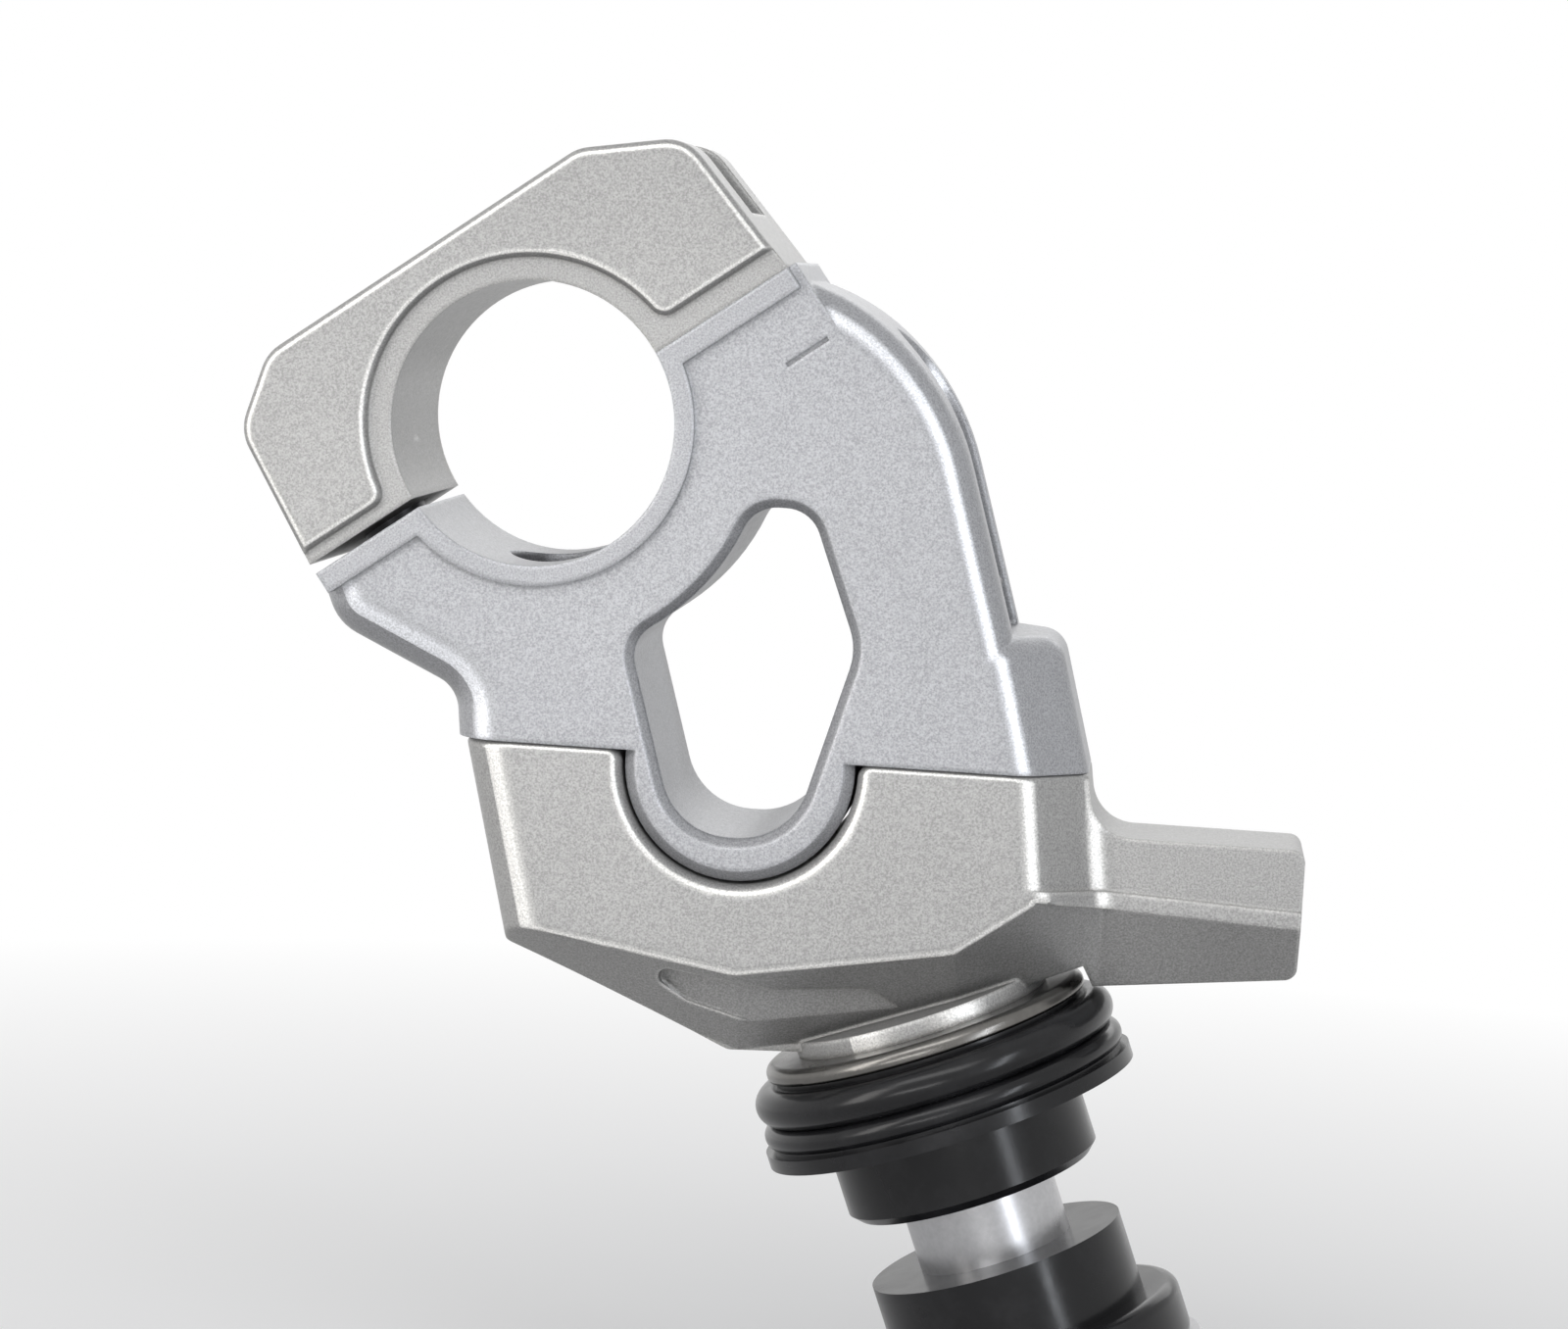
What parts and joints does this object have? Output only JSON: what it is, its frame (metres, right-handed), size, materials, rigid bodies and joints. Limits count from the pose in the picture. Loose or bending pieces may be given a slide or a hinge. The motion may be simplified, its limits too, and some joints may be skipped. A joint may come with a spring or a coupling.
{
  "type": "motorcycle bar riser",
  "caption": "Handlebar riser: a clamp cap over a windowed block that sits with a round lobe in a mount casting, on a ribbed rubber isolator and stem.",
  "frame": {"origin": "centre of the foot, on the stem's axis at the fork yoke's upper face, where the ribbed boot stands", "axes": "+X forward on the bike, +Y along the handlebar to the left, +Z square to the seat between riser block and mount casting; the stem leans back by 21 degrees from +Z"},
  "size_m": [0.1219, 0.044, 0.1587],
  "materials": {
    "cast_warm": "fine metallic silver, satin",
    "cast_cool": "fine metallic silver, satin",
    "screw_steel": "blackened",
    "zinc_steel": "zinc plated",
    "boot_rubber": "satin"
  },
  "bodies": {
    "root": {"clamp_cap": "cast_warm", "riser_block": "cast_cool", "mount_casting": "cast_warm", "clamp_screw_rear": "screw_steel", "clamp_screw_front": "screw_steel", "mount_screw_rear": "screw_steel", "mount_screw_front": "screw_steel", "clamp_washer_rear": "zinc_steel", "clamp_washer_front": "zinc_steel", "mount_washer_rear": "zinc_steel", "mount_washer_front": "zinc_steel", "isolator_cup": "zinc_steel", "upper_boot": "boot_rubber", "lower_bush": "boot_rubber", "spacer_sleeve": "zinc_steel", "dish_washer": "zinc_steel", "lock_washer": "zinc_steel", "stem_nut": "zinc_steel", "stem_stud": "screw_steel"}
  },
  "joints": []
}
